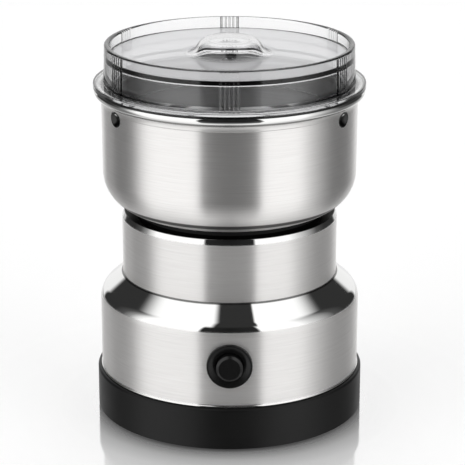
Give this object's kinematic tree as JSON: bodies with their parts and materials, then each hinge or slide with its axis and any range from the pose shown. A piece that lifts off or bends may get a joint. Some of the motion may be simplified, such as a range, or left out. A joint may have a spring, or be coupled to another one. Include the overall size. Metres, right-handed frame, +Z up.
{
  "type": "electric spice grinder",
  "caption": "Electric spice grinder with a steel motor housing, fixed steel bowl and blade, clear bayonet lid, push button and black base.",
  "frame": {"origin": "middle of the base at the floor, where the rubber feet stand", "axes": "+Z up along the motor shaft, -Y towards the push button at the front, +Y towards the cord inlet, +X to the right seen from the front"},
  "size_m": [0.104, 0.1082, 0.1488],
  "materials": {
    "bowl_steel": "brushed round the axis, polished at the rim and the bottom edge",
    "housing_steel": "brushed wall and neck, mirror-polished shoulder and neck edge",
    "turned_steel": "turned",
    "blade_steel": "ground",
    "spring_steel": "drawn wire",
    "black_base": "fine satin moulding",
    "black_trim": "semi-gloss moulding",
    "bracket_plastic": "glass-filled nylon",
    "black_rubber": "matt",
    "clear_silicone": "translucent, soft",
    "clear_plastic": "clear, glossy",
    "laminations": "stacked sheet",
    "copper_wire": "enamelled copper",
    "brass": "pressed",
    "bearing_bronze": "sintered bronze",
    "carbon": "pressed carbon"
  },
  "bodies": {
    "base": {"bowl": "bowl_steel", "bowl_gasket": "black_rubber", "bowl_bushing": "turned_steel", "bushing_nut": "turned_steel", "shaft_seal": "black_rubber", "motor_housing": "housing_steel", "base_ring": "black_base", "bottom_cover": "black_base", "rubber_feet": "black_rubber", "cover_screws": "turned_steel", "cord_gland": "black_trim", "switch_bezel": "black_trim", "switch_nut": "black_trim", "switch_body": "black_trim", "switch_terminals": "brass", "motor_bracket_top": "bracket_plastic", "motor_bracket_bottom": "bracket_plastic", "motor_screws": "turned_steel", "bearing_top": "bearing_bronze", "bearing_bottom": "bearing_bronze", "stator_core": "laminations", "field_coils": "copper_wire", "brush_holders": "brass", "carbon_brushes": "carbon", "brush_springs": "spring_steel"},
    "rotor": {"rotor_shaft": "turned_steel", "armature_core": "laminations", "armature_windings": "copper_wire", "commutator": "copper_wire", "cooling_fan": "bracket_plastic", "blade_spacer": "turned_steel", "blade_lower": "blade_steel", "blade_upper": "blade_steel", "blade_washer": "turned_steel", "blade_nut": "turned_steel"},
    "button": {"button_cap": "black_trim", "button_spring": "spring_steel"},
    "lid_seal": {"lid_seal": "clear_silicone"},
    "lid": {"lid": "clear_plastic"}
  },
  "joints": [
    {"name": "blade_spin", "type": "hinge", "parent": "base", "child": "rotor", "pos_m": [0, 0, 0.0895], "axis": [0, 0, 1], "continuous": true},
    {"name": "button_press", "type": "slide", "parent": "base", "child": "button", "axis": [0, 1, 0], "range_m": [0, 0.0025], "stiffness_N_per_m": 600, "springref_m": -0.003, "deforming": ["button_spring"]},
    {"name": "lid_lift", "type": "slide", "parent": "base", "child": "lid_seal", "axis": [0, 0, 1], "range_m": [0, 0.06]},
    {"name": "lid_twist", "type": "hinge", "parent": "lid_seal", "child": "lid", "pos_m": [0, 0, 0.1298], "axis": [0, 0, -1], "range_deg": [0, 15]}
  ]
}
